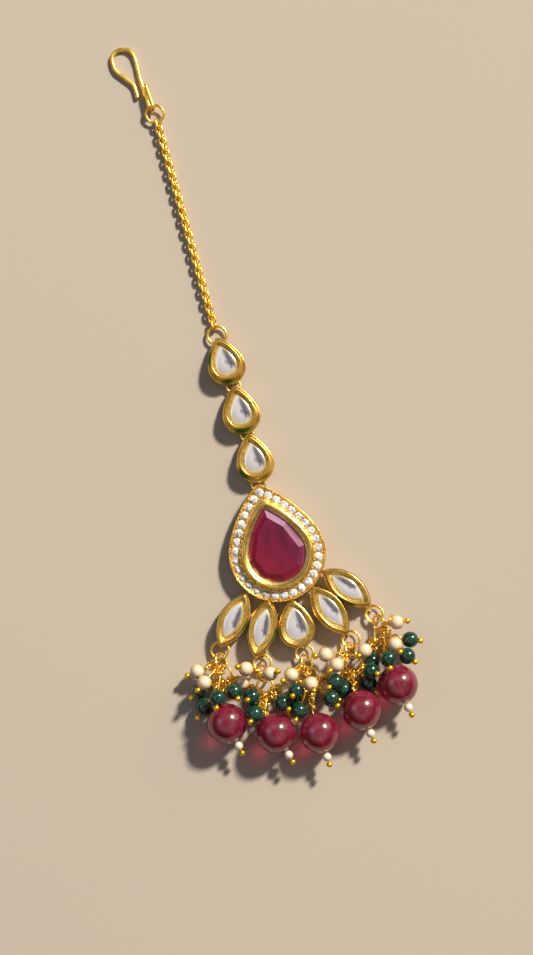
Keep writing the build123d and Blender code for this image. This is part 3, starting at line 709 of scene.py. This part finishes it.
def cutRuby():
    # the crown is cut by planes of one slope that touch the pear outline at the girdle: a point's height
    # is the lowest of the planes there, and the table's corners are where two planes reach its level
    girdle, ways = (rows[0] for rows in outlineRows("pear", [pendant["seat"]]))
    girdle = girdle - ruby["gap"] * ways
    angles = np.radians(ruby["facets"])
    looks = np.stack([np.cos(angles), np.sin(angles)], -1)
    touching = (girdle @ looks.T).max(0)
    above = touching - girdle @ looks.T
    facetOf = above.argmin(1)
    heights = ruby["girdleZ"] + ruby["slope"] * above.min(1)
    inset = touching - (ruby["tableZ"] - ruby["girdleZ"]) / ruby["slope"]
    pairs = np.stack([looks, np.roll(looks, -1, 0)], 1)
    corners = np.linalg.solve(pairs, np.stack([inset, np.roll(inset, -1)], 1)[:, :, None])[:, :, 0]
    top = np.zeros_like(girdle)
    for number in range(len(corners)):
        span = np.flatnonzero(facetOf == number)
        split = np.flatnonzero(np.diff(span) > 1)  # the first facet runs on past the last column
        span = np.roll(span, -split[0] - 1) if len(split) else span
        share = np.linspace(0, 1, len(span))[:, None]
        top[span] = corners[number - 1] * (1 - share) + corners[number] * share
    columns, middle = len(girdle), girdle.mean(0)
    foot = middle + ruby["footShare"] * (girdle - middle)
    levels = [
        (foot, ruby["lowZ"]), (girdle, heights - ruby["edge"]), (girdle, heights), (top, ruby["tableZ"])]
    shape = capped(np.stack([np.column_stack([flat, np.broadcast_to(z, columns)]) for flat, z in levels]))
    # the crown's facets get their painted light: a painted sky reflection, or painted red against their
    # shade
    tones = np.zeros(len(shape[1]))
    tones[2 * columns:3 * columns] = np.array(ruby["tones"])[facetOf]
    # painted glow: the ruby is painted redder towards the lower left, where the light leaves it
    glow = np.clip(0.35 - (shape[0][:, 0] * 0.09 + shape[0][:, 1] * 0.06), 0, 1)  # towards the lower left
    newPiece("rubyStone", "ruby", [shape], [rubyStone], smooth=False, pointValues={"glow": glow},
             faceValues={"facetTone": tones})


cutRuby()
print("stones ready")

# chain, hook and rings

chain = {
    "links": 35, "pitch": 1.32, "z": 0.88, "turn": 62.0, "radius": 0.67, "straight": 0.62, "wire": 0.28,
    "startX": 0.55, "startY": 49.48, "endX": 1.0}
turn = np.linspace(0, 2 * np.pi, 36, endpoint=False) + 0.01
# a link is two half circles joined by straight sides
x, y = chain["radius"] * np.cos(turn), chain["radius"] * np.sin(turn)
path = np.stack([x, y + np.sign(np.sin(turn)) * chain["straight"] / 2, 0 * turn], -1)
link = tube(path, chain["wire"], np.array([0, 0, 1.0]), closed=True)
links = []
for number in range(chain["links"]):
    roll = math.radians(chain["turn"] - 90 * (number % 2))
    sine, cosine = math.sin(roll), math.cos(roll)
    x = chain["startX"] + (chain["endX"] - chain["startX"]) * number / (chain["links"] - 1)
    place = (x, chain["startY"] + number * chain["pitch"], chain["z"])
    links.append(moved(link, place, (sine, 0, cosine), (cosine, 0, -sine)))
newPiece("chainLinks", "chain", links, [goldWire])
for node in ("hook", "top_ring", "pear_ring", "pear_links"):  # these keep their shape
    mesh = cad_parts[node].data
    mesh.materials.clear()
    mesh.materials.append(goldWire)
print("chain ready")

# bead drops

drops = {
    "ringRadius": 1.7, "petalWire": 0.165, "petalStep": 0.1, "linkWire": 0.26, "petalPitch": 8.0,
    "pinWire": 0.19, "eye": 0.66, "eyePull": 0.1, "wrap": 0.3, "head": 0.6, "headGap": 0.08, "bendGap": 0.4,
    "hole": 0.28, "bevel": 0.05, "seed": 0.9, "radius": {"pearl": 1.5, "green": 1.65, "red": 4.0},
    # loose curls of wire: how many on each kind of pin, their scatter, turn in degrees, radius, how much
    # wider and higher they get as they turn, and how near they come to a bead
    "curls": {"pearl": 3, "green": 2, "red": 7}, "curlWire": 0.18, "curlScatter": (0.35, 0.35, 0.15),
    "curlTurn": (240, 400), "curlRadius": (0.42, 0.72), "curlWiden": 0.12, "curlClimb": 0.07,
    "curlGap": 0.04,
    # the middle of each drop's three rings and their roll in degrees
    "ringNames": ["petal", "middle", "lower"],
    "rings": [
        [(-16.4, -15.4, 1.03, 0), (-16.8, -17.6, 1.9, -55), (-17.1, -20.2, 1.7, 15)],
        [(-8.9, -20.2, 1.06, 0), (-9.3, -22.4, 1.9, -55), (-9.7, -24.9, 2.0, 15)],
        [(-0.2, -20.6, 1.06, 0), (-0.4, -22.7, 1.9, -55), (-0.6, -25.3, 1.8, 15)],
        [(9.6, -20.6, 1.06, 0), (8.8, -22.9, 1.9, -55), (8.7, -25.4, 2.0, 15)],
        [(15.6, -17.0, 1.06, 0), (15.8, -19.1, 1.9, 55), (15.9, -21.6, 1.6, -15)]],
    # each bead's kind, middle, the ring that it hangs on, how far the pin has slid round that ring in
    # degrees, and for a red bead the way that its pin points
    "beads": [
        [("pearl", -21.9, -18.3, 3.0, "middle", -8), ("pearl", -21.1, -20.9, 4.9, "middle", -3),
         ("pearl", -13.9, -22.9, 1.6, "lower", 0), ("green", -22.3, -22.2, 1.7, "lower", 0),
         ("green", -22.6, -25.6, 2.3, "lower", 0), ("green", -19.4, -24.6, 6.5, "middle", 6),
         ("green", -15.9, -24.2, 4.4, "lower", 0), ("red", -19.0, -29.9, 4.05, "lower", 10, -78)],
        [("pearl", -12.4, -20.6, 5.2, "middle", 0), ("pearl", -8.0, -22.8, 5.6, "middle", 0),
         ("pearl", -5.8, -26.6, 1.7, "lower", 0), ("green", -12.8, -26.2, 4.9, "lower", -10),
         ("green", -13.2, -29.6, 5.6, "lower", 6), ("green", -12.6, -28.6, 1.7, "lower", -4),
         ("green", -7.3, -29.0, 4.8, "lower", 0), ("red", -10.2, -34.4, 4.05, "lower", 12, -75)],
        [("pearl", -4.0, -24.2, 4.2, "middle", 0), ("pearl", -0.8, -27.0, 6.0, "middle", 0),
         ("pearl", 1.9, -28.6, 1.65, "lower", 11), ("green", -4.0, -27.5, 5.0, "lower", -20),
         ("green", -4.5, -31.4, 4.8, "lower", 6), ("green", -4.9, -29.9, 1.7, "lower", 0),
         ("green", 2.2, -30.9, 5.2, "lower", -3), ("red", -1.9, -36.7, 4.05, "lower", 8, -88)],
        [("pearl", 3.7, -22.2, 4.0, "middle", 0), ("pearl", 5.2, -24.8, 5.0, "middle", 0),
         ("pearl", 4.5, -25.9, 1.6, "lower", -4), ("green", 4.0, -27.9, 4.8, "lower", -3),
         ("green", 5.3, -29.8, 1.7, "lower", 2), ("green", 11.4, -27.8, 5.2, "lower", 0),
         ("green", 10.5, -30.0, 2.1, "lower", 0), ("red", 7.4, -34.7, 4.05, "lower", 4, -84)],
        [("pearl", 19.2, -19.9, 4.1, "middle", 0), ("pearl", 17.5, -24.1, 5.6, "middle", 8),
         ("pearl", 11.4, -23.6, 4.6, "lower", 0), ("green", 12.4, -25.9, 1.7, "lower", 0),
         ("green", 20.8, -24.0, 3.6, "lower", 0), ("green", 19.2, -27.0, 4.9, "lower", 0),
         ("green", 15.3, -26.5, 6.4, "middle", -8), ("red", 15.9, -31.9, 4.05, "lower", 0, -82)]],
    # each kind's node and slot, material and number of sides
    "looks": {
        "pearl": ("pearls", "pearl", pearlCoat, 32), "green": ("green_beads", "green_bead", greenOnyx, 32),
        "red": ("red_bead", "red_bead", redQuartz, 64), "seed": ("seed_bead", "seed_bead", seedPearl, 24)},
}
allBeads = [bead for bunch in drops["beads"] for bead in bunch]
beadMiddles = np.array([bead[1:4] for bead in allBeads])
beadReach = np.array([drops["radius"][bead[0]] for bead in allBeads]) + drops["curlWire"] + drops["curlGap"]


def ringFrame(number, name):
    # the ring's middle, the way that it hangs along, and the way across it
    *middle, roll = drops["rings"][number][drops["ringNames"].index(name)]
    pitch = math.radians(drops["petalPitch"] if name == "petal" else 0)
    roll = math.radians(roll)
    down = np.array([0, -math.cos(pitch), math.sin(pitch)])
    across = [math.cos(roll), math.sin(roll) * math.sin(pitch), math.sin(roll) * math.cos(pitch)]
    return np.array(middle), down, np.array(across)


def jumpRing(number, name, seam):
    # a cut ring of wire; the petal's ring goes round twice, like a split ring, and steps out and over
    # half-way along its wire
    centre, down, across = ringFrame(number, name)
    axis = np.cross(down, across)
    turns, points, wire, step = 1, 56, drops["linkWire"], 0.0
    if name == "petal":
        turns, points, wire, step = 2, 110, drops["petalWire"], drops["petalStep"]
    turn = np.linspace(0.06, 2 * turns * np.pi - 0.06, points)[:, None] + seam
    step = np.clip(np.linspace(-6, 6, points), -1, 1)[:, None] * step
    out = np.cos(turn) * down + np.sin(turn) * across
    return tube(centre + (drops["ringRadius"] + step) * out + step * axis, wire, axis)


def drilledBead(radius, sides):
    # round skin and the wall of the drill hole, with a small bevel where they meet
    hole, bevel = drops["hole"], drops["bevel"]
    edge = math.asin((hole + bevel) / radius)
    angles = np.linspace(-math.pi / 2 + edge, math.pi / 2 - edge, sides // 2 + 1)
    skin = np.stack([radius * np.cos(angles), radius * np.sin(angles)], -1)
    top = radius * math.cos(edge) - bevel
    wall = np.stack([np.full(5, hole), np.linspace(top, -top, 5)], -1)
    return lathe(np.concatenate([skin, wall]), sides, closed=True)


def clearOfBeads(path):
    # points nearer to a bead's middle than its skin and the wire allow are moved straight out of it
    for _ in range(4):
        away = path[:, None] - beadMiddles
        gap = np.linalg.norm(away, axis=2) - beadReach
        nearest = away[np.arange(len(path)), gap.argmin(1)]
        path = path + unit(nearest) * np.maximum(-gap.min(1), 0)[:, None]
    return path


def curls(start, way, count, reach):
    # loose ends of wire: open rings round the shank, each tipped its own way, that widen and climb as
    # they turn; none goes into a bead or down to the surface
    shapes = []
    for step in range(count):
        middle = start + way * reach * (step + 0.5) / count
        middle = middle + random.uniform(-1, 1, 3) * np.array(drops["curlScatter"])
        axis = unit(way * 0.5 + random.uniform(-1, 1, 3))
        first = unit(np.cross(axis, (0.3, 0.5, 0.8)))
        turn = np.radians(np.linspace(0, random.uniform(*drops["curlTurn"]), 26))[:, None]
        radius = random.uniform(*drops["curlRadius"]) * (1 + drops["curlWiden"] * turn / np.pi)
        out = np.cos(turn) * first + np.sin(turn) * np.cross(axis, first)
        path = middle + radius * out + drops["curlClimb"] * turn * axis
        path[:, 2] = np.maximum(path[:, 2], 0.4)
        path = clearOfBeads(path)
        path[:, 2] = np.maximum(path[:, 2], 0.2)
        shapes.append(tube(path, drops["curlWire"], axis, 8))
    return shapes


def beadPin(number, bead):
    # the pin's shapes, and the middle and the way of the bead on it. A red bead's pin bends just above
    # the bead and carries the seed pearl too; the others run straight from the ring.
    kind, x, y, z, ringName, slide = bead[:6]
    centre, down, across = ringFrame(number, ringName)
    middle = np.array([x, y, z])
    bend = middle
    if kind == "red":
        way = np.array([math.cos(math.radians(bead[6])), math.sin(math.radians(bead[6])), 0.0])
        bend = middle - way * (drops["radius"][kind] + drops["bendGap"])
    offset = bend - centre
    angle = math.atan2(offset @ across, offset @ down) + math.radians(slide)
    held = centre + (down * math.cos(angle) + across * math.sin(angle)) * drops["ringRadius"]
    tangent = across * math.cos(angle) - down * math.sin(angle)
    eye = held + unit(bend - held) * drops["eyePull"]
    leaving = unit(bend - eye)
    loopAxis = unit(tangent - leaving * (tangent @ leaving))
    if kind != "red":
        way = leaving
    reach = drops["radius"][kind] + drops["headGap"] + drops["head"]
    if kind == "red":
        reach += 2 * drops["seed"] + drops["headGap"]
    head = middle + way * reach
    # wire: two wraps round the shank, once round the eye, then down the shank to the ball
    e = drops["eye"]
    share = np.linspace(0, 1, 34)[:, None]
    wrap = 4 * np.pi * share
    loop = np.radians(np.linspace(24, 336, 30))[:, None]
    wraps = np.concatenate(
        [drops["wrap"] * np.cos(wrap), drops["wrap"] * np.sin(wrap), e + 0.85 - 0.62 * share], 1)
    eyePath = np.concatenate([e * np.sin(loop), 0 * loop, e * np.cos(loop)], 1)
    local = np.concatenate([wraps, eyePath, [(0, 0, e + 0.25), (0, 0, e + 0.5)]])
    axes = np.stack([np.cross(loopAxis, leaving), loopAxis, leaving])
    steady = np.concatenate([np.tile(leaving, (len(wraps), 1)), np.tile(loopAxis, (len(eyePath) + 2, 1))])
    path = local @ axes + eye
    if kind == "red":
        start, length = path[-1], np.linalg.norm(bend - path[-1])
        share = np.linspace(0.1, 1, 8)[:, None]
        reachOut = bend + way * min(0.4, length)
        curve = (1 - share) ** 2 * start + 2 * share * (1 - share) * bend + share ** 2 * reachOut
        path = np.concatenate([path, curve])
    path = np.concatenate([path, [head]])
    steady = np.concatenate([steady, np.tile(loopAxis, (len(path) - len(steady), 1))])
    for _ in range(2):  # soften the bends
        path[1:-1] = (path[:-2] + 2 * path[1:-1] + path[2:]) / 4
    shapes = [tube(path, drops["pinWire"], steady, 9)]
    shank = np.linalg.norm(bend - eye) - 1.2 if kind == "red" else 0.6
    shapes += curls(eye + leaving * 0.6, leaving, drops["curls"][kind], max(shank, 0.6))
    points, faces, _ = moved(grain(drops["head"], 16, 9), head, way, axes[0])
    shapes.append((points, faces, 1))
    return shapes, middle, way


for number in range(5):
    label = "%d" % (number + 1)
    rings = [jumpRing(number, "middle", 1.3), jumpRing(number, "lower", 2.2)]
    petalRing = jumpRing(number, "petal", 2.0)
    newPiece("petalRing" + label, "petal_ring_" + label, [petalRing], [goldWire])
    newPiece("dropRings" + label, "drop_links_" + label, rings, [goldWire])
    pins, beads = [], {"pearl": [], "green": [], "red": [], "seed": []}
    for bead in drops["beads"][number]:
        kind = bead[0]
        shapes, middle, way = beadPin(number, bead)
        pins += shapes
        helper = (1, 0, 0) if abs(way[0]) < 0.8 else (0, 1, 0)
        drilled = drilledBead(drops["radius"][kind], drops["looks"][kind][3])
        beads[kind].append(moved(drilled, middle, way, helper))
        if kind == "red":
            place = middle + way * (drops["radius"]["red"] + drops["seed"] + drops["headGap"])
            drilled = drilledBead(drops["seed"], drops["looks"]["seed"][3])
            beads["seed"].append(moved(drilled, place, way, helper))
    newPiece("beadPins" + label, "bead_pins_" + label, pins, [goldWire, goldBall])
    for kind, shapes in beads.items():
        node, slot, material, _ = drops["looks"][kind]
        newPiece(kind + "Beads" + label, node + "_" + label, shapes, [material])
print("drops ready")
